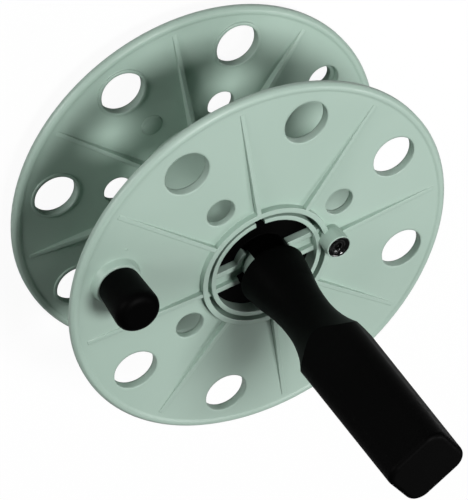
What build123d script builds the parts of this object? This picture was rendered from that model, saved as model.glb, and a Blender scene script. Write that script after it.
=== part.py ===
"""Hand wire reel: a moulded spool that turns on the axle of a straight black grip.

Units are millimetres and +Z is up. The reel stands on its rear end with the grip
upright. The origin is on the spool axis at floor level. The channel of the two arms
across the hub runs along X, with the front screw boss on the -X side.

Both flanges are the same moulding, the rear one turned over about Y, with the drum
clamped between them by one long screw from each side.
"""
import os
from math import cos, radians, sin

from build123d import *

# Overall
flange_r = 100.0            # outer radius of both flanges, over the rim bead
flange_gap = 68.6           # from one flange's rim plane to the other's
post_top = 11.8             # the screw boss stands this far out of the rim plane
rear_z = post_top           # the rear screw boss touches the floor
front_z = rear_z + flange_gap

# Flange plate, measured from its own rim plane
face = 1.8                  # outer and inner face, above and below the rim plane
bead_r = 2.4                # half width of the rim bead, across its flats
bead_flats = 8
sector_count = 8
sector_step = 360 / sector_count
first_sector = sector_step / 2
knob_angle = -first_sector  # this sector has the knob boss in place of a large hole
hole_pitch = 79.4
hole_r = 11.1
hole_lip = 0.8              # each large hole has a lip on the inner face
hole_lip_w = 1.6
small_pitch = 46.0
small_hole_r = 7.2
rib_t = 2.2
rib_end_r = 93.0            # ribs and fins run out here
rib_rise = 3.0              # rib height above the outer face, at the collar
fin_rise = 6.4              # fin height above the inner face, at the drum
tip_rise = 0.2              # rib and fin height where they run out

# Hub, measured from the flange's rim plane
collar_r = 34.2
collar_in_r = 31.5
collar_top = 5.0
spigot_z = -13.2            # end of the collar tube inside the drum
web_t = 2.3                 # web that carries the split ring
ring_r = 29.3
ring_in_r = 27.0
ring_top = 4.2
ring_notch = 4.6
arm_top = 1.3
arm_floor_z = -2.8
arm_floor_t = 1.5
arm_gap = 6.4
arm_t = 2.7
fork_r = 14.6               # the fork of each arm and the slots for the bearing's shells
fork_wall = 1.8
fork_end = -52.0            # each fork starts at its arm and ends at this angle
slot_end = 13.0             # the slot beyond the arm's other wall starts at this angle
tube_r = 10.5
tube_top = 9.3
bore_r = 8.2

# Knob boss, screw boss and nut post on the flange
boss_foot_r = 12.4
boss_tip_r = 11.0
boss_top = 5.5
boss_bore_r = 6.2
boss_pocket_r = 8.5         # counterbore from the inner face
boss_pocket_z = 2.0
boss_pocket_depth = 8.0
post_pitch = 34.9
post_foot_r = 5.7
post_r = 5.1
screw_seat = 8.4
seat_r = 4.2
screw_hole_r = 2.1
nut_post_r = 4.2
nut_post_depth = 8.0        # the nut post stands this far off the inner face
post_play = 0.2             # the spigot clears the drum's screw posts by this
nut_hole_r = 2.0
nut_hole_top = 0.8

# Bearing: a black plate under the front arms with two shells round the tube
plate_r = 26.8
plate_t = 2.8
shell_r = 14.4
shell_play = 0.2            # from the tube to the shells
shell_start = 14.0          # each shell runs from this angle to the one below
shell_end = 120.0

# Drum
drum_r = 37.4
drum_in_r = 34.4
nut_play = 0.05             # the nut posts enter the drum's screw posts with this

# Grip, heights above the front rim plane
flare_z = 9.7
flare_r = 16.8
flare_edge = 0.8
flare_mid = (15.6, 19.0)    # radius and height on the flare's outline
neck_foot = (13.8, 28.0)    # the flare's outline meets the neck's here
waist_r = 12.2
waist_z = 45.0
neck_clear_r = 24.0         # the neck's outline leaves the grip's corners here
neck_clear_z = 79.9
grip_turn = 27.8            # the grip's flats are turned this far from the channel
grip_width = 34.2           # at the waist
grip_depth = 32.8
grip_corner = 8.8
grip_taper = 0.76           # degrees
grip_end = 150.4
grip_end_round = 2.4
socket_r = 4.5
socket_depth = 33.0

# Axle
axle_r = 8.15
spigot_end = -5.9           # the grip's spigot ends on the axle's collar
stop_r = 14.0
stop_t = 2.7
stud_play = 1.0
axle_end = 8.8              # end of the axle outside the rear rim plane

# Knob, heights above the front rim plane
knob_foot = 5.9
knob_foot_r = 10.1
knob_r = 10.9
knob_belly = 17.0
knob_len = 22.7
knob_round = 4.5
stem_r = 6.15
stem_end = -0.4
catch_r = 7.1
catch_lead = 1.2            # height of the cone that leads the catch into the bore
catch_play = 0.3

# Screws
head_r = 4.15
head_h = 2.8
head_edge = 0.7
socket_hex_r = 2.2
socket_hex_depth = 1.5
screw_r = 2.0


def upright(angle):
    """Vertical plane through the spool axis; its x runs outward at this angle."""
    a = radians(angle)
    return Plane(origin=(0, 0, 0), x_dir=(cos(a), sin(a), 0), z_dir=(sin(a), -cos(a), 0))


def at(radius, angle):
    """Point on the plan at this radius and angle."""
    return (radius * cos(radians(angle)), radius * sin(radians(angle)))


knob_at = at(hole_pitch, knob_angle)
large_holes = [at(hole_pitch, first_sector + sector_step * i) for i in range(sector_count - 1)]
small_holes = [at(small_pitch, first_sector + 2 * sector_step * i) for i in range(4)]

# Flange about its own rim plane, outer face up: plate, bead, collar, web and ring
with BuildPart() as flange:
    plate_w = flange_r - bead_r - collar_in_r
    with BuildSketch(Plane.XZ):
        with Locations((collar_in_r + plate_w / 2, 0)):
            Rectangle(plate_w, 2 * face)
        with Locations((flange_r - bead_r, 0)):
            RegularPolygon(bead_r, bead_flats, major_radius=False, rotation=180 / bead_flats)
        with Locations(((collar_in_r + collar_r) / 2, (spigot_z + collar_top) / 2)):
            Rectangle(collar_r - collar_in_r, collar_top - spigot_z)
        with Locations(((ring_in_r + collar_r) / 2, spigot_z + web_t / 2)):
            Rectangle(collar_r - ring_in_r, web_t)
        with Locations(((ring_in_r + ring_r) / 2, (spigot_z + ring_top) / 2)):
            Rectangle(ring_r - ring_in_r, ring_top - spigot_z)
    revolve(axis=Axis.Z)

    # The ring is split where no arm reaches it.
    with BuildSketch(Plane.XY.offset(arm_floor_z)):
        with Locations((0, (ring_in_r + ring_r) / 2), (0, -(ring_in_r + ring_r) / 2)):
            Rectangle(ring_notch, ring_r - ring_in_r + 1)
    extrude(amount=ring_top - arm_floor_z + 1, mode=Mode.SUBTRACT)

    # Lips of the large holes
    with BuildSketch(Plane.XY.offset(-face - hole_lip)):
        with Locations(large_holes):
            Circle(hole_r + hole_lip_w)
    extrude(amount=hole_lip + face)

    # Ribs on the outer face, fins on the inner face
    for i in range(sector_count):
        with BuildSketch(upright(sector_step * i)):
            with BuildLine():
                Polyline((collar_r - 1, 0), (rib_end_r, 0), (rib_end_r, face + tip_rise),
                         (collar_r - 1, face + rib_rise), close=True)
            make_face()
            with BuildLine():
                Polyline((drum_r, 0), (rib_end_r, 0), (rib_end_r, -face - tip_rise),
                         (drum_r, -face - fin_rise), close=True)
            make_face()
        extrude(amount=rib_t / 2, both=True)

    # Knob boss and screw boss, both with draft
    with Locations((*knob_at, face)):
        Cone(boss_foot_r, boss_tip_r, boss_top - face, align=(Align.CENTER, Align.CENTER, Align.MIN))
    with Locations((-post_pitch, 0, 0)):
        Cone(post_foot_r, post_r, post_top, align=(Align.CENTER, Align.CENTER, Align.MIN))

    # Nut post for the screw from the other side
    with BuildSketch(Plane.XY.offset(-face - nut_post_depth)):
        with Locations((post_pitch, 0)):
            Circle(nut_post_r)
    extrude(amount=nut_post_depth + face)

    # Arms: floor and two walls, one of them forked round the tube; slots for the shells
    with BuildSketch(Plane.XY.offset(arm_floor_z)):
        Rectangle(2 * collar_in_r + 2, arm_gap + 2 * arm_t)
        Circle(fork_r)
        Rectangle(2 * collar_in_r + 4, arm_gap, mode=Mode.SUBTRACT)
        Circle(fork_r - fork_wall, mode=Mode.SUBTRACT)
    extrude(amount=arm_top - arm_floor_z)
    with BuildSketch(Plane.XY.offset(arm_floor_z)):
        Rectangle(2 * collar_in_r + 2, arm_gap + 2 * arm_t)
        Circle(fork_r)
    extrude(amount=arm_floor_t)
    with BuildSketch(Plane.XY.offset(arm_floor_z)):
        Circle(fork_r)
        with PolarLocations(0, 2):
            Polygon((0, 0), at(collar_r, fork_end), at(collar_r, slot_end), align=None, mode=Mode.SUBTRACT)
    extrude(amount=arm_top - arm_floor_z, mode=Mode.SUBTRACT)
    with BuildSketch(Plane.XY.offset(arm_floor_z)):
        Circle(tube_r)
    extrude(amount=tube_top - arm_floor_z)

    # Bore, holes and the pocket behind the knob boss
    with BuildSketch(Plane.XY.offset(post_top)):
        with Locations(large_holes):
            Circle(hole_r)
        with Locations(small_holes):
            Circle(small_hole_r)
        with Locations(knob_at):
            Circle(boss_bore_r)
        Circle(bore_r)
    extrude(amount=2 * spigot_z, mode=Mode.SUBTRACT)
    with BuildSketch(Plane.XY.offset(boss_pocket_z)):
        with Locations(knob_at):
            Circle(boss_pocket_r)
    extrude(amount=-boss_pocket_depth, mode=Mode.SUBTRACT)

    # Screw seat, screw hole and nut hole; the drum's screw post notches the spigot
    with BuildSketch(Plane.XY.offset(screw_seat)):
        with Locations((-post_pitch, 0)):
            Circle(seat_r)
    extrude(amount=post_top, mode=Mode.SUBTRACT)
    with BuildSketch(Plane.XY.offset(-face)):
        with Locations((-post_pitch, 0)):
            Circle(nut_post_r + post_play)
    extrude(amount=spigot_z, mode=Mode.SUBTRACT)
    with BuildSketch(Plane.XY.offset(-face - nut_post_depth)):
        with Locations((post_pitch, 0)):
            Circle(nut_post_r + post_play)
    extrude(amount=spigot_z, mode=Mode.SUBTRACT)
    with BuildSketch(Plane.XY.offset(-face)):
        with Locations((-post_pitch, 0)):
            Circle(screw_hole_r)
    extrude(amount=post_top, mode=Mode.SUBTRACT)
    with BuildSketch(Plane.XY.offset(nut_hole_top)):
        with Locations((post_pitch, 0)):
            Circle(nut_hole_r)
    extrude(amount=-face - nut_post_depth - 1, mode=Mode.SUBTRACT)

with BuildPart() as flange_front:
    with Locations((0, 0, front_z)):
        add(flange.part)
flange_front.part.label = "flange_front"

with BuildPart() as flange_rear:
    with Locations(Location((0, 0, rear_z), (0, 180, 0))):
        add(flange.part)
flange_rear.part.label = "flange_rear"

# Drum: a tube with one screw post on either side; the nut posts meet their ends
with BuildPart() as drum:
    drum_z = rear_z + face
    drum_len = flange_gap - 2 * face
    with BuildSketch(Plane.XY.offset(drum_z)):
        Circle(drum_r)
        Circle(drum_in_r, mode=Mode.SUBTRACT)
        with Locations((-post_pitch, 0), (post_pitch, 0)):
            Circle(nut_post_r)
            Circle(screw_hole_r, mode=Mode.SUBTRACT)
    extrude(amount=drum_len)
    with BuildSketch(Plane.XY.offset(drum_z)):
        with Locations((-post_pitch, 0)):
            Circle(nut_post_r + nut_play)
    extrude(amount=nut_post_depth, mode=Mode.SUBTRACT)
    with BuildSketch(Plane.XY.offset(drum_z + drum_len)):
        with Locations((post_pitch, 0)):
            Circle(nut_post_r + nut_play)
    extrude(amount=-nut_post_depth, mode=Mode.SUBTRACT)
drum.part.label = "drum"

# Bearing under the front arms
with BuildPart() as bearing:
    with BuildSketch(Plane.XY.offset(front_z + arm_floor_z)):
        Circle(plate_r)
        Circle(bore_r, mode=Mode.SUBTRACT)
    extrude(amount=-plate_t)
    with BuildSketch(Plane.XY.offset(front_z + arm_floor_z)):
        Circle(shell_r)
        Circle(tube_r + shell_play, mode=Mode.SUBTRACT)
        with PolarLocations(0, 2):
            Polygon((0, 0), at(collar_r, shell_end - 180), at(collar_r, shell_start), align=None,
                    mode=Mode.SUBTRACT)
    extrude(amount=tube_top - arm_floor_z)
bearing.part.label = "bearing"

# Grip: a tapered rounded square bar, cut to the turned neck, then the flare below it
with BuildPart() as handle:
    waist = (waist_r, front_z + waist_z)
    clear = (neck_clear_r, front_z + neck_clear_z)
    end_z = front_z + grip_end
    with BuildSketch(Plane.XY.offset(front_z + waist_z)):
        RectangleRounded(grip_width, grip_depth, grip_corner, rotation=grip_turn)
    extrude(amount=grip_end - waist_z, taper=grip_taper)
    fillet(handle.faces().sort_by(Axis.Z)[-1].edges(), grip_end_round)
    with BuildSketch(Plane.XZ):
        with BuildLine():
            TangentArc(waist, clear, tangent=(0, 1))
            Polyline(clear, (neck_clear_r, end_z + 1), (0, end_z + 1), (0, front_z + waist_z), waist)
        make_face()
    revolve(axis=Axis.Z, mode=Mode.INTERSECT)
    base_z = front_z + flare_z
    foot = (neck_foot[0], front_z + neck_foot[1])
    with BuildSketch(Plane.XZ):
        with BuildLine():
            Polyline(waist, (0, front_z + waist_z), (0, base_z), (flare_r - flare_edge, base_z),
                     (flare_r, base_z + flare_edge))
            ThreePointArc((flare_r, base_z + flare_edge), (flare_mid[0], front_z + flare_mid[1]), foot)
            TangentArc(waist, foot, tangent=(0, -1))
        make_face()
    revolve(axis=Axis.Z)
    with BuildSketch(Plane.XY.offset(front_z + spigot_end)):
        Circle(axle_r)
    extrude(amount=flare_z - spigot_end + 1)
    with BuildSketch(Plane.XY.offset(front_z + spigot_end)):
        Circle(socket_r)
    extrude(amount=socket_depth, mode=Mode.SUBTRACT)
handle.part.label = "handle"

# Axle: collar under the bearing, stud in the grip's socket, shaft to the rear bore
with BuildPart() as axle:
    with BuildSketch(Plane.XY.offset(front_z + spigot_end)):
        Circle(stop_r)
    extrude(amount=-stop_t)
    with BuildSketch(Plane.XY.offset(front_z + spigot_end)):
        Circle(socket_r)
    extrude(amount=socket_depth - stud_play)
    with BuildSketch(Plane.XY.offset(front_z + spigot_end - stop_t)):
        Circle(axle_r)
    extrude(amount=-(flange_gap + spigot_end - stop_t + axle_end))
axle.part.label = "axle"

# Crank knob with the stem that turns in the boss and catches behind it
with BuildPart() as knob:
    top = knob_foot + knob_len
    catch_top = boss_pocket_z - catch_play
    with BuildSketch(Plane.XZ):
        with BuildLine():
            Polyline((0, top), (0, stem_end), (stem_r - 1, stem_end), (catch_r, stem_end + catch_lead),
                     (catch_r, catch_top), (stem_r, catch_top), (stem_r, knob_foot),
                     (knob_foot_r, knob_foot), (knob_r, knob_foot + knob_belly), (knob_r, top),
                     close=True)
        make_face()
    revolve(axis=Axis.Z)
    fillet(knob.faces().sort_by(Axis.Z)[-1].edges(), knob_round)

with BuildPart() as knob_front:
    with Locations((*knob_at, front_z)):
        add(knob.part)
knob_front.part.label = "knob"

# Cap screw about the flange's rim plane, head up
with BuildPart() as screw:
    with BuildSketch(Plane.XY.offset(screw_seat)):
        Circle(head_r)
    extrude(amount=head_h)
    chamfer(screw.edges().sort_by(Axis.Z)[-1], head_edge)
    with BuildSketch(Plane.XY.offset(screw_seat + head_h)):
        RegularPolygon(socket_hex_r, 6)
    extrude(amount=-socket_hex_depth, mode=Mode.SUBTRACT)
    with BuildSketch(Plane.XY.offset(screw_seat)):
        Circle(screw_r)
    extrude(amount=-(screw_seat + flange_gap - nut_hole_top))

with BuildPart() as screw_front:
    with Locations((-post_pitch, 0, front_z)):
        add(screw.part)
screw_front.part.label = "screw_front"

with BuildPart() as screw_rear:
    with Locations(Location((post_pitch, 0, rear_z), (0, 180, 0))):
        add(screw.part)
screw_rear.part.label = "screw_rear"

os.makedirs("parts", exist_ok=True)
export_step(flange_front.part, "parts/flange_front.step")
export_step(flange_rear.part, "parts/flange_rear.step")
export_step(drum.part, "parts/drum.step")
export_step(bearing.part, "parts/bearing.step")
export_step(handle.part, "parts/handle.step")
export_step(axle.part, "parts/axle.step")
export_step(knob_front.part, "parts/knob.step")
export_step(screw_front.part, "parts/screw_front.step")
export_step(screw_rear.part, "parts/screw_rear.step")
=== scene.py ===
# %% [markdown]
# # A hand wire reel
#
# The object is a spool of grey-green moulded plastic that turns on the axle of a
# black grip. Both flanges are pierced and ribbed, and a black crank knob stands on
# the near one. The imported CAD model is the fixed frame: every shape that matters
# in use is already there. So this lesson is about the camera, the light, the three
# finishes, the small marks that moulding leaves and the cup round one screw.

# %% Load the frame
from math import cos, radians, sin

import bmesh
import bpy
from mathutils import Matrix, Quaternion, Vector


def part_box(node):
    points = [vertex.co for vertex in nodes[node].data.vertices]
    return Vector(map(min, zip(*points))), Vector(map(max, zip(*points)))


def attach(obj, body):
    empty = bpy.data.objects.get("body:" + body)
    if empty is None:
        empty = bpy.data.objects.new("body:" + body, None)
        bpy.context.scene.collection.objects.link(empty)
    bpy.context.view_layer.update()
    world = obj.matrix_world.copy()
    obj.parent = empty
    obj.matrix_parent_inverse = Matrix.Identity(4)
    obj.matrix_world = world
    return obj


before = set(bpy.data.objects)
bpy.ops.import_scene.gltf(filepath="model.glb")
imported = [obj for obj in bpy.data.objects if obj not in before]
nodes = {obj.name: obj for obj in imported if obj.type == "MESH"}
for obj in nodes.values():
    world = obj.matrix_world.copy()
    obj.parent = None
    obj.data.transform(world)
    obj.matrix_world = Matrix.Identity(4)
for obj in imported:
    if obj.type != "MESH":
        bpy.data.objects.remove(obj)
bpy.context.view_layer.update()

# %% [markdown]
# ## Places on the reel
#
# Camera, lamps, finishes and marks are placed by the flange radius and by the heights
# of the two plates. The box round a flange gives the radius. Its outermost point is
# the top of the screw boss, so the middle of the plate lies one boss height further
# in. Angles run round the spool axis from +X, which is the direction of the channel
# across the hub.

# %% Measure the flanges
_, front_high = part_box("flange_front")
rear_low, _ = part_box("flange_rear")
flange_r = front_high.x
boss_height = 0.118 * flange_r
face_half = 0.018 * flange_r
front_z = front_high.z - boss_height
rear_z = rear_low.z + boss_height
print("flange radius", round(flange_r * 1000, 1), "mm, middles of the plates at",
      round(rear_z * 1000, 1), "and", round(front_z * 1000, 1), "mm")

# %% [markdown]
# ## The camera
#
# The photograph looks down on the near flange at about 42 degrees, with the camera
# rolled so that the grip runs to the lower right. The roll is a turn about the
# camera's own axis, made after it has been aimed. A long lens keeps the two flanges
# nearly the same size, as they are in the photograph. Lamps are placed in the same
# way later, so one helper gives a direction and another one aims what stands there.


# %% Aim the camera
def direction(azimuth, elevation):
    """Unit vector away from the reel; the azimuth runs from -Y towards +X."""
    az, el = radians(azimuth), radians(elevation)
    return Vector((sin(az) * cos(el), -cos(az) * cos(el), sin(el)))


def place_and_aim(thing, target, toward, distance, roll=0.0):
    """Put a camera or a lamp this far from its target, looking back at it."""
    thing.location = target + toward * distance
    thing.rotation_mode = "QUATERNION"
    aimed = (-toward).to_track_quat("-Z", "Y")
    thing.rotation_quaternion = aimed @ Quaternion((0, 0, 1), radians(roll))
    bpy.context.scene.collection.objects.link(thing)


camera_azimuth, camera_elevation, camera_roll = 20.45, 42.28, 141.8
camera_distance = 9.5 * flange_r
camera_aim = Vector((0.1347 * flange_r, -0.1503 * flange_r, front_z))
camera_lens, sensor_width, nearest_seen = 146.2, 36, 0.05

camera_data = bpy.data.cameras.new("photo_camera")
camera_data.lens = camera_lens
camera_data.sensor_width = sensor_width
camera_data.clip_start = nearest_seen
camera = bpy.data.objects.new("photo_camera", camera_data)
place_and_aim(camera, camera_aim, direction(camera_azimuth, camera_elevation),
              camera_distance, camera_roll)
bpy.context.scene.camera = camera
bpy.context.scene.view_settings.view_transform = "Standard"
print("camera at", [round(v, 3) for v in camera.location], "m, lens", camera_lens, "mm")

# %% [markdown]
# ## The floor
#
# The photograph is cut out on white. A floor that gives off white to camera rays
# alone makes the background white and adds no light to the reel. A tenth of what the
# camera sees of it stays an ordinary grey surface, so a soft shadow shows where the
# reel stands, and every other ray meets that grey surface alone.

# %% Lay the floor
floor_size = 40 * flange_r
bm = bmesh.new()
bmesh.ops.create_grid(bm, x_segments=1, y_segments=1, size=floor_size / 2)
floor_mesh = bpy.data.meshes.new("floor")
bm.to_mesh(floor_mesh)
bm.free()
floor = bpy.data.objects.new("floor", floor_mesh)
bpy.context.scene.collection.objects.link(floor)
print("floor", round(floor_size, 1), "m wide")


# %% Make the floor white to the camera
def new_node(tree, kind, values=None, **settings):
    """Shader node with these settings; values go to its input sockets."""
    node = tree.nodes.new("ShaderNode" + kind)
    for name, setting in settings.items():
        setattr(node, name, setting)
    for socket, value in (values or {}).items():
        node.inputs[socket].default_value = value
    return node


floor_grey, glow_strength, glow_share = 0.5, 1.06, 0.9
floor_material = bpy.data.materials.new("white_floor")
floor_material.use_nodes = True
tree = floor_material.node_tree
tree.nodes.clear()
plain = new_node(tree, "BsdfDiffuse", {"Color": (floor_grey, floor_grey, floor_grey, 1)})
glow = new_node(tree, "Emission", {"Strength": glow_strength})
path = new_node(tree, "LightPath")
share = new_node(tree, "Math", {1: glow_share}, operation="MULTIPLY")
mix = new_node(tree, "MixShader")
output = new_node(tree, "OutputMaterial")
link = tree.links.new
link(path.outputs["Is Camera Ray"], share.inputs[0])
link(share.outputs[0], mix.inputs["Fac"])
link(plain.outputs["BSDF"], mix.inputs[1])
link(glow.outputs["Emission"], mix.inputs[2])
link(mix.outputs["Shader"], output.inputs["Surface"])
floor_mesh.materials.append(floor_material)
print("floor grey", floor_grey, "and to the camera", glow_share, "white")

# %% [markdown]
# ## The world
#
# Low views look past the edge of the floor, so the camera sees a white world too. For
# all other rays the world is almost black. That leaves the gap between the flanges
# nearly as dark as it is in the photograph.

# %% Set the world
world_strength, backdrop_strength = 0.01, 1.0
white = (1, 1, 1, 1)

world = bpy.data.worlds.new("studio")
bpy.context.scene.world = world
world.use_nodes = True
tree = world.node_tree
tree.nodes.clear()
faint = new_node(tree, "Background", {"Color": white, "Strength": world_strength})
backdrop = new_node(tree, "Background", {"Color": white, "Strength": backdrop_strength})
path = new_node(tree, "LightPath")
choose = new_node(tree, "MixShader")
output = new_node(tree, "OutputWorld")
link = tree.links.new
link(path.outputs["Is Camera Ray"], choose.inputs["Fac"])
link(faint.outputs["Background"], choose.inputs[1])
link(backdrop.outputs["Background"], choose.inputs[2])
link(choose.outputs["Shader"], output.inputs["Surface"])
print("world strength", world_strength, "and to the camera", backdrop_strength)

# %% [markdown]
# ## Lamps
#
# The photograph's shadows say where its lamps hang. The near flange's shadow on the
# far one is short and has a soft edge, so the main lamp has some breadth and hangs
# steeply over the plates, on the camera's side. The grip's shadow lies across the
# plate beside the knob, so a second, weaker lamp stands on the far side. The flanks of
# the knob's boss and of the rings are as bright as the plates, so a third one stands
# almost level with them, where it lights upright faces and little else. A broad, faint
# lamp opposite the camera makes the grey sheen that lies over the near plate.

# %% Hang the lamps
lamp_distance = 1.2
lamp_target = Vector((0, 0, front_z))
lamps = {  # azimuth and elevation in degrees, side of the square in m, power in W
    "key": (-18, 69, 0.3, 10.6),
    "far side": (-112, 50, 0.4, 4.4),
    "low side": (52, 10, 0.4, 4.8),
    "sheen": (205, 40, 0.7, 0.5),
}
for name, (azimuth, elevation, side, power) in lamps.items():
    data = bpy.data.lights.new(name, "AREA")
    data.size = side
    data.energy = power
    lamp = bpy.data.objects.new(name, data)
    place_and_aim(lamp, lamp_target, direction(azimuth, elevation), lamp_distance)
    print("lamp", name, "of", power, "W, elevation", elevation)

# %% [markdown]
# ## Mould grain, as a group of nodes
#
# A mould has a fine grain, and the plastic takes it over. Modelled, the grain would
# cost millions of faces, so it is a height for a Bump node: a noise far finer than
# the ribs, with a slow wave added, because no moulded face is quite flat. All
# finishes use it, so it is a node group with named inputs, built once and placed in
# each of them with its own values.


# %% Build the grain group
def mm(size):
    """Blender's metres for a size in mm."""
    return size / 1000


def new_group(name, sockets_in, sockets_out):
    """Empty shader node group with these float or colour sockets."""
    group = bpy.data.node_groups.new(name, "ShaderNodeTree")
    for label, kind, value in sockets_in:
        socket = group.interface.new_socket(label, in_out="INPUT", socket_type=kind)
        socket.default_value = value
    for label, kind in sockets_out:
        group.interface.new_socket(label, in_out="OUTPUT", socket_type=kind)
    inside = group.nodes.new("NodeGroupInput")
    outside = group.nodes.new("NodeGroupOutput")
    return group, inside, outside


FLOAT, COLOUR = "NodeSocketFloat", "NodeSocketColor"
grain_group, grain_in, grain_out = new_group(
    "mould grain",
    [("Scale", FLOAT, 900.0), ("Depth", FLOAT, mm(0.03)), ("Waviness", FLOAT, 0.3)],
    [("Height", FLOAT)],
)
place = new_node(grain_group, "TexCoord")
fine = new_node(grain_group, "TexNoise", {"Detail": 3})
wave = new_node(grain_group, "TexNoise", {"Scale": 28, "Detail": 1})
add_wave = new_node(grain_group, "Math", operation="MULTIPLY_ADD")
depth = new_node(grain_group, "Math", operation="MULTIPLY")
link = grain_group.links.new
link(place.outputs["Object"], fine.inputs["Vector"])
link(place.outputs["Object"], wave.inputs["Vector"])
link(grain_in.outputs["Scale"], fine.inputs["Scale"])
link(wave.outputs["Fac"], add_wave.inputs[0])
link(grain_in.outputs["Waviness"], add_wave.inputs[1])
link(fine.outputs["Fac"], add_wave.inputs[2])
link(add_wave.outputs[0], depth.inputs[0])
link(grain_in.outputs["Depth"], depth.inputs[1])
link(depth.outputs[0], grain_out.inputs["Height"])
print("group", grain_group.name, "with", len(grain_group.nodes), "nodes")

# %% [markdown]
# ## Flow marks
#
# Molten plastic runs into the mould in streams, and where they meet, the colour and
# the gloss of the surface change a little. A wide, distorted noise does the same. It
# mixes a colour with a paler one, and it shifts the roughness up and down. The mix
# rises smoothly, because a hard stop would draw contour lines on the plates.

# %% Build the flow marks group
cloud_low, cloud_high, gloss_change = 0.25, 0.75, 0.04
flow_group, flow_in, flow_out = new_group(
    "flow marks",
    [("Colour", COLOUR, (0.4, 0.5, 0.44, 1)), ("Pale", COLOUR, (0.45, 0.55, 0.49, 1)),
     ("Scale", FLOAT, 14.0)],
    [("Colour", COLOUR), ("Roughness shift", FLOAT)],
)
place = new_node(flow_group, "TexCoord")
clouds = new_node(flow_group, "TexNoise", {"Detail": 4, "Distortion": 0.6})
spread = new_node(flow_group, "MapRange", {"From Min": cloud_low, "From Max": cloud_high},
                  interpolation_type="SMOOTHSTEP")
tint = new_node(flow_group, "Mix", data_type="RGBA")
shift = new_node(flow_group, "MapRange",
                 {"To Min": -gloss_change, "To Max": gloss_change})
link = flow_group.links.new
link(place.outputs["Object"], clouds.inputs["Vector"])
link(flow_in.outputs["Scale"], clouds.inputs["Scale"])
link(clouds.outputs["Fac"], spread.inputs["Value"])
link(spread.outputs["Result"], tint.inputs["Factor"])
link(flow_in.outputs["Colour"], tint.inputs["A"])
link(flow_in.outputs["Pale"], tint.inputs["B"])
link(tint.outputs["Result"], flow_out.inputs["Colour"])
link(clouds.outputs["Fac"], shift.inputs["Value"])
link(shift.outputs["Result"], flow_out.inputs["Roughness shift"])
print("group", flow_group.name, "with", len(flow_group.nodes), "nodes")

# %% [markdown]
# ## Rounded edges
#
# Every edge of a moulding is a little round, and that is where the highlights sit.
# The Bevel node bends the shading normal near an edge without new faces. Its radius
# isn't the same everywhere on a flange: the rim bead, the holes and the shoulder of
# the knob's boss are well rounded, and the ribs are crisp. So a group measures how far
# a point is from the spool axis, the boss and the nearest hole, and puts out the
# radius for that place. The holes sit in eight equal sectors, so the angle is wrapped
# into one sector, and one hole of each ring is measured there. The knob's boss stands
# in the eighth place of the large ring and is rounded with it. Where the small ring
# has no hole, the wider radius finds little to round.

# %% Start the edge radius group
radius_group, radius_in, radius_out = new_group(
    "edge radius",
    [("Plain", FLOAT, mm(0.4)), ("Rim extra", FLOAT, 0.0), ("Boss extra", FLOAT, 0.0),
     ("Hole extra", FLOAT, 0.0)],
    [("Radius", FLOAT)],
)


def step(operation, first, second=None, third=None):
    """Math node in the radius group; each value is a socket or a number."""
    node = new_node(radius_group, "Math", operation=operation)
    for socket, value in zip(node.inputs, (first, second, third)):
        if isinstance(value, (int, float)):
            socket.default_value = value
        elif value is not None:
            radius_group.links.new(value, socket)
    return node.outputs[0]


def length(east, north):
    """Length of the way that leads this far east and this far north."""
    squares = step("MULTIPLY", east, east), step("MULTIPLY", north, north)
    return step("SQRT", step("ADD", *squares))


place = new_node(radius_group, "TexCoord")
split = new_node(radius_group, "SeparateXYZ")
radius_group.links.new(place.outputs["Object"], split.inputs[0])
from_axis = length(split.outputs["X"], split.outputs["Y"])
print("group", radius_group.name, "started with", len(radius_group.nodes), "nodes")

# %% Measure the zones of the flange
rim_start, boss_end = 0.94 * flange_r, 0.155 * flange_r
large_hole_ring, large_hole_reach = 0.794 * flange_r, 0.124 * flange_r
small_hole_ring, small_hole_reach = 0.46 * flange_r, 0.085 * flange_r
half_sector = radians(22.5)

knob_low, knob_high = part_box("knob")
knob_middle = (knob_low + knob_high) / 2
from_boss = length(step("SUBTRACT", split.outputs["X"], knob_middle.x),
                   step("SUBTRACT", split.outputs["Y"], knob_middle.y))
zones = [
    ("Rim extra", step("GREATER_THAN", from_axis, rim_start)),
    ("Boss extra", step("LESS_THAN", from_boss, boss_end)),
]
angle = step("ARCTAN2", split.outputs["Y"], split.outputs["X"])
in_sector = step("WRAP", step("SUBTRACT", angle, half_sector), half_sector, -half_sector)
along = step("MULTIPLY", from_axis, step("COSINE", in_sector))
across = step("MULTIPLY", from_axis, step("SINE", in_sector))
for ring, reach in ((large_hole_ring, large_hole_reach),
                    (small_hole_ring, small_hole_reach)):
    from_hole = length(step("SUBTRACT", along, ring), across)
    zones.append(("Hole extra", step("LESS_THAN", from_hole, reach)))

radius = radius_in.outputs["Plain"]
for label, zone in zones:
    radius = step("MULTIPLY_ADD", zone, radius_in.outputs[label], radius)
radius_group.links.new(radius, radius_out.inputs["Radius"])
print("group", radius_group.name, "with", len(zones), "zones and",
      len(radius_group.nodes), "nodes")

# %% [markdown]
# ## The finish of the spool
#
# The spool is a satin grey-green plastic. One even colour would look painted, and a
# picture wrapped round the spool would show its seams, so the finish is worked out
# from a point's place on the object. Its colour comes from the flow marks group, its
# relief from the grain group and its soft edges from a Bevel node. The spool alone
# has edges that differ from place to place, so only its Bevel node gets its radius
# from the edge radius group.


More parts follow.
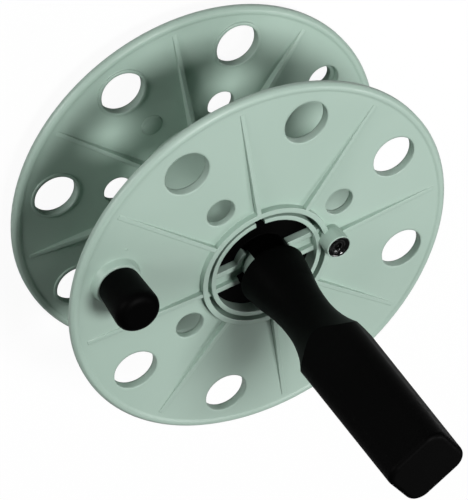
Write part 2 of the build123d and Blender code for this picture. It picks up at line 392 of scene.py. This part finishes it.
# %% Mix the finish of the spool
def plastic(name, colour, pale, roughness, grain_scale, grain_depth, edge_radius,
            specular=0.5, extras=None):
    """Finish with flow marks, grain and soft edges; extras widen some of the edges."""
    material = bpy.data.materials.new(name)
    material.use_nodes = True
    tree = material.node_tree
    link = tree.links.new
    shader = tree.nodes["Principled BSDF"]
    shader.inputs["Specular IOR Level"].default_value = specular
    flow = new_node(tree, "Group", {"Colour": (*colour, 1), "Pale": (*pale, 1)},
                    node_tree=flow_group)
    gloss = new_node(tree, "Math", {1: roughness}, operation="ADD")
    grain = new_node(tree, "Group", {"Scale": grain_scale, "Depth": grain_depth},
                     node_tree=grain_group)
    bump = new_node(tree, "Bump", {"Distance": 1.0})
    edges = new_node(tree, "Bevel", {"Radius": edge_radius}, samples=8)
    if extras:
        rounding = new_node(tree, "Group", {"Plain": edge_radius, **extras},
                            node_tree=radius_group)
        link(rounding.outputs["Radius"], edges.inputs["Radius"])
    link(flow.outputs["Colour"], shader.inputs["Base Color"])
    link(flow.outputs["Roughness shift"], gloss.inputs[0])
    link(gloss.outputs[0], shader.inputs["Roughness"])
    link(grain.outputs["Height"], bump.inputs["Height"])
    link(edges.outputs["Normal"], bump.inputs["Normal"])
    link(bump.outputs["Normal"], shader.inputs["Normal"])
    print("finish", name, "with", len(tree.nodes), "nodes")
    return material


spool_finish = plastic(
    "grey-green satin plastic",
    colour=(0.4, 0.53, 0.455), pale=(0.43, 0.56, 0.485),
    roughness=0.34, grain_scale=1400, grain_depth=mm(0.008), edge_radius=mm(0.6),
    extras={"Rim extra": mm(1.2), "Boss extra": mm(0.1), "Hole extra": mm(0.9)},
)

# %% [markdown]
# ## The black finishes
#
# The grip, the axle, the bearing and the knob are black plastic with a fine leathery
# grain. The photograph shows hardly any light on it, so its colour is close to zero
# and its specular level is low. The screws are glossy: they are hardly brighter, but
# smooth, so that a lamp makes a small, clear highlight on them. One edge radius does
# for the whole of each piece.

# %% Mix the black finishes
black_finish = plastic(
    "black grained plastic",
    colour=(0.0008, 0.0008, 0.0008), pale=(0.0014, 0.0014, 0.0014), specular=0.03,
    roughness=0.5, grain_scale=900, grain_depth=mm(0.03), edge_radius=mm(0.6),
)
screw_finish = plastic(
    "glossy black screw",
    colour=(0.003, 0.003, 0.003), pale=(0.006, 0.006, 0.006),
    roughness=0.12, grain_scale=2000, grain_depth=mm(0.004), edge_radius=mm(0.3),
)

# %% [markdown]
# ## Dress the CAD nodes
#
# The meshes stay as they were packed. Each node gets a finish in the place of its plain
# colour, and the table lists each finish under the slot of the part's record that it
# stands for. A new piece that goes on later gets its finish in the same way.

# %% Dress the nodes
finish_of = {
    "spool_plastic": (spool_finish, ("flange_front", "flange_rear", "drum")),
    "black_plastic": (black_finish, ("bearing", "handle", "axle", "knob")),
    "screw_black": (screw_finish, ("screw_front", "screw_rear")),
}
for slot, (finish, names) in finish_of.items():
    for name in names:
        mesh = nodes[name].data
        mesh.materials.clear()
        mesh.materials.append(finish)
    print(slot, "on", ", ".join(names))

# %% [markdown]
# ## Marks of the mould
#
# A pin that pushes the warm moulding out leaves a round mark on the inner face, a
# hair's breadth proud of it, and the gate where the plastic ran in leaves a tiny
# nub on the outer face. Both flanges come from the same mould, so each has both, and
# as one of them is turned over about X, its angles change their sign. They are real
# discs rather than a bump, because they stay sharp from close by: a circle is
# extruded by the height of the mark, and its upper edge is bevelled.


# %% Stamp the pin marks
def piece_from(bm, name, finish, sharp_angle):
    """Object from this bmesh; edges that turn by more than the angle stay sharp."""
    bmesh.ops.recalc_face_normals(bm, faces=bm.faces)
    mesh = bpy.data.meshes.new(name)
    bm.to_mesh(mesh)
    bm.free()
    mesh.shade_smooth()
    mesh.set_sharp_from_angle(angle=radians(sharp_angle))
    mesh.materials.append(finish)
    piece = bpy.data.objects.new(name, mesh)
    bpy.context.scene.collection.objects.link(piece)
    print(name, len(mesh.polygons), "faces")
    return piece


mark_sides = 40
mark_root = mm(0.2)  # how deep a mark is rooted in the plate
bevel_share = 0.6    # of its height


def mould_mark(name, mark_r, height, from_axis, angle, z, facing):
    """Low disc with a bevelled edge on a flange face; facing is +1 up, -1 down."""
    bm = bmesh.new()
    bmesh.ops.create_circle(bm, cap_ends=True, segments=mark_sides, radius=mark_r,
                            matrix=Matrix.Translation((0, 0, -mark_root)))
    top = bmesh.ops.extrude_face_region(bm, geom=bm.faces[:])
    top_verts = [v for v in top["geom"] if isinstance(v, bmesh.types.BMVert)]
    bmesh.ops.translate(bm, verts=top_verts, vec=(0, 0, height + mark_root))
    rim = [e for e in bm.edges if all(v in top_verts for v in e.verts)]
    bmesh.ops.bevel(bm, geom=rim, offset=height * bevel_share, offset_type="OFFSET",
                    affect="EDGES", segments=2, profile=0.5, material=-1,
                    clamp_overlap=True)
    if facing < 0:
        turned_over = Matrix.Rotation(radians(180), 4, "X")
        bmesh.ops.transform(bm, verts=bm.verts, matrix=turned_over)
    a = radians(angle)
    middle = Vector((from_axis * cos(a), from_axis * sin(a), z))
    bmesh.ops.translate(bm, verts=bm.verts, vec=middle)
    mark = piece_from(bm, name, spool_finish, sharp_angle=40)
    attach(mark, "spool")


pin = {"mark_r": mm(5.6), "height": mm(0.2), "from_axis": mm(51.2)}
pin_angle = -68.2
mould_mark("pin_mark_rear", **pin, angle=pin_angle, z=rear_z + face_half, facing=1)
mould_mark("pin_mark_front", **pin, angle=-pin_angle, z=front_z - face_half, facing=-1)

# %% Stamp the gate nubs
gate = {"mark_r": mm(0.7), "height": mm(0.3), "from_axis": mm(79.7)}
gate_angle = -34.7
mould_mark("gate_nub_front", **gate, angle=gate_angle, z=front_z + face_half, facing=1)
mould_mark("gate_nub_rear", **gate, angle=-gate_angle, z=rear_z - face_half, facing=-1)

# %% [markdown]
# ## The cup round the screw head
#
# The front screw sits in a boss whose thin bright lip stands round a glossy black
# bowl. Lip and bowl are both turned shapes: half a profile, given as radius and
# height, is spun once round the screw's axis. A bowl that slopes by 33 degrees would
# throw the main lamp straight to the camera. This one's flank slopes by about 24, so
# it catches a part of the lamp and shows a small highlight.

# %% Turn the lip and the bowl
turn_steps = 48


def turned(name, profile, middle, finish):
    """Closed ring spun from a loop of (radius, height) points in mm above its middle."""
    bm = bmesh.new()
    points = [bm.verts.new((mm(r), 0, mm(h))) for r, h in profile]
    loop = [bm.edges.new((points[i - 1], points[i])) for i in range(len(points))]
    bmesh.ops.spin(bm, geom=points + loop, cent=(0, 0, 0), axis=(0, 0, 1),
                   dvec=(0, 0, 0), angle=radians(360), steps=turn_steps,
                   use_merge=True, use_duplicate=False)
    bmesh.ops.translate(bm, verts=bm.verts, vec=middle)
    ring = piece_from(bm, name, finish, sharp_angle=50)
    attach(ring, "spool")


screw_low, screw_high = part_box("screw_front")
screw_axis = (screw_low + screw_high) / 2
screw_axis.z = front_z
lip_profile = [
    (6.15, 1.6), (6.45, 11.9),
    (6.4, 12.3), (6.2, 12.45), (5.95, 12.42), (5.76, 12.2),
    (5.7, 11.0), (4.9, 11.0), (4.9, 1.6),
]
bowl_profile = [
    (5.72, 11.9), (5.62, 12.25), (5.4, 12.4), (5.15, 12.33),
    (4.12, 11.88), (3.95, 11.5), (3.4, 11.36), (2.6, 11.28),
    (2.45, 11.1), (5.6, 11.1),
]
turned("screw_cup_lip", lip_profile, screw_axis, spool_finish)
turned("screw_cup_bowl", bowl_profile, screw_axis, screw_finish)
